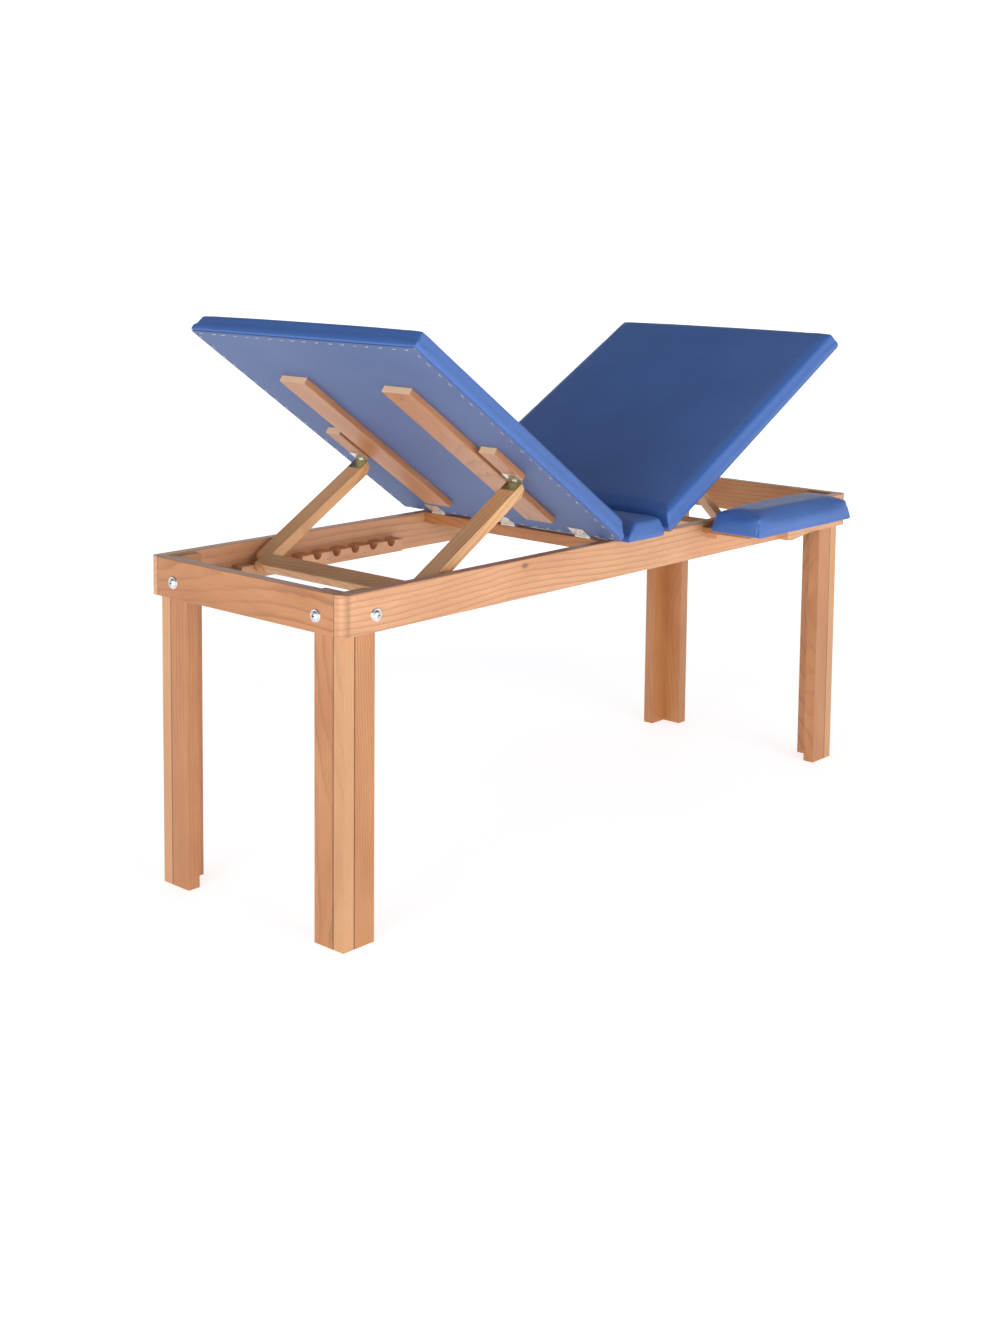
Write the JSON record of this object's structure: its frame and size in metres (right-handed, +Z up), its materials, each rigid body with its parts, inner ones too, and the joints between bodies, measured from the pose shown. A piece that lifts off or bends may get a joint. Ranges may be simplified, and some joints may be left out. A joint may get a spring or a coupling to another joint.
{
  "type": "examination couch",
  "caption": "Wooden examination couch with a tilting backrest and leg rest on notched props, a fixed seat pad and side armrests.",
  "frame": {"origin": "on the floor, at the centre of the couch's footprint, midway between the four legs", "axes": "+X along the couch towards the leg rest, +Z up, -Y the near long side"},
  "size_m": [1.8748, 0.996, 1.245],
  "materials": {
    "vinyl": "semi-gloss vinyl-coated fabric with a fine leather grain, over foam",
    "plywood": "raw plywood",
    "rail_wood": "satin clear lacquer, cherry-toned",
    "leg_wood": "satin clear lacquer, cherry-toned",
    "beech_wood": "satin clear lacquer",
    "zinc_steel": "zinc plated",
    "screw_steel": "zinc plated",
    "hinge_white": "pale plated steel",
    "hinge_bronze": "yellow passivated steel"
  },
  "bodies": {
    "frame": {"side_rail_near": "rail_wood", "side_rail_far": "rail_wood", "end_rail_back": "rail_wood", "end_rail_foot": "rail_wood", "leg_back_near": "leg_wood", "leg_back_far": "leg_wood", "leg_foot_near": "leg_wood", "leg_foot_far": "leg_wood", "leg_bolts": "zinc_steel", "leg_washers": "zinc_steel", "leg_nuts": "zinc_steel", "backrest_hinge_bar": "beech_wood", "legrest_hinge_bar": "beech_wood", "backrest_rack_near": "rail_wood", "backrest_rack_far": "rail_wood", "legrest_rack_near": "rail_wood", "legrest_rack_far": "rail_wood", "rack_screws": "screw_steel", "seat_board": "plywood", "seat_cushion": "vinyl", "armrest_cleat_near": "rail_wood", "armrest_board_near": "plywood", "armrest_pad_near": "vinyl", "armrest_cleat_far": "rail_wood", "armrest_board_far": "plywood", "armrest_pad_far": "vinyl", "armrest_screws": "screw_steel", "backrest_fixed_leaves": "hinge_white", "legrest_fixed_leaves": "hinge_white"},
    "backrest_pins": {"backrest_hinge_pins": "screw_steel"},
    "backrest": {"backrest_moving_leaves": "hinge_white", "backrest_board": "plywood", "backrest_cushion": "vinyl", "backrest_batten_near": "beech_wood", "backrest_batten_far": "beech_wood", "backrest_block_near": "beech_wood", "backrest_block_far": "beech_wood", "backrest_screws": "screw_steel", "backrest_prop_upper_leaves": "hinge_white"},
    "backrest_prop_pins": {"backrest_prop_pins": "screw_steel"},
    "backrest_prop": {"backrest_strut_near": "beech_wood", "backrest_strut_far": "beech_wood", "backrest_crossbar": "beech_wood", "backrest_prop_lower_leaves": "hinge_bronze"},
    "legrest_pins": {"legrest_hinge_pins": "screw_steel"},
    "legrest": {"legrest_moving_leaves": "hinge_white", "legrest_board": "plywood", "legrest_cushion": "vinyl", "legrest_batten_near": "beech_wood", "legrest_batten_far": "beech_wood", "legrest_block_near": "beech_wood", "legrest_block_far": "beech_wood", "legrest_screws": "screw_steel", "legrest_prop_upper_leaves": "hinge_white"},
    "legrest_prop_pins": {"legrest_prop_pins": "screw_steel"},
    "legrest_prop": {"legrest_strut_near": "beech_wood", "legrest_strut_far": "beech_wood", "legrest_crossbar": "beech_wood", "legrest_prop_lower_leaves": "hinge_bronze"}
  },
  "joints": [
    {"name": "backrest_lower", "type": "hinge", "parent": "frame", "child": "backrest_pins", "pos_m": [-0.105, 0, 0.7326], "axis": [0, 1, 0], "range_deg": [-35, 0]},
    {"name": "backrest_raise", "type": "hinge", "parent": "backrest_pins", "child": "backrest", "pos_m": [-0.105, 0, 0.7326], "axis": [0, 1, 0], "range_deg": [0, 40.27]},
    {"name": "backrest_prop_fold", "type": "hinge", "parent": "backrest", "child": "backrest_prop_pins", "pos_m": [-0.35823, 0, 0.8905], "axis": [0, 1, 0], "range_deg": [0, 66.22]},
    {"name": "backrest_prop_spread", "type": "hinge", "parent": "backrest_prop_pins", "child": "backrest_prop", "pos_m": [-0.35823, 0, 0.8905], "axis": [0, 1, 0], "range_deg": [-68.71, 0]},
    {"name": "legrest_lower", "type": "hinge", "parent": "frame", "child": "legrest_pins", "pos_m": [0.073, 0, 0.7326], "axis": [0, -1, 0], "range_deg": [-29, 0]},
    {"name": "legrest_raise", "type": "hinge", "parent": "legrest_pins", "child": "legrest", "pos_m": [0.073, 0, 0.7326], "axis": [0, -1, 0], "range_deg": [0, 15.96]},
    {"name": "legrest_prop_fold", "type": "hinge", "parent": "legrest", "child": "legrest_prop_pins", "pos_m": [0.29499, 0, 0.83747], "axis": [0, -1, 0], "range_deg": [0, 69.02]},
    {"name": "legrest_prop_spread", "type": "hinge", "parent": "legrest_prop_pins", "child": "legrest_prop", "pos_m": [0.29499, 0, 0.83747], "axis": [0, -1, 0], "range_deg": [-37.56, 0]}
  ],
  "couplings": [
    {"joint": "backrest_prop_fold", "follows": "backrest_lower", "ratio": -1.8905},
    {"joint": "backrest_prop_spread", "follows": "backrest_raise", "ratio": -1.7049},
    {"joint": "legrest_prop_fold", "follows": "legrest_lower", "ratio": -2.3781},
    {"joint": "legrest_prop_spread", "follows": "legrest_raise", "ratio": -2.35}
  ]
}
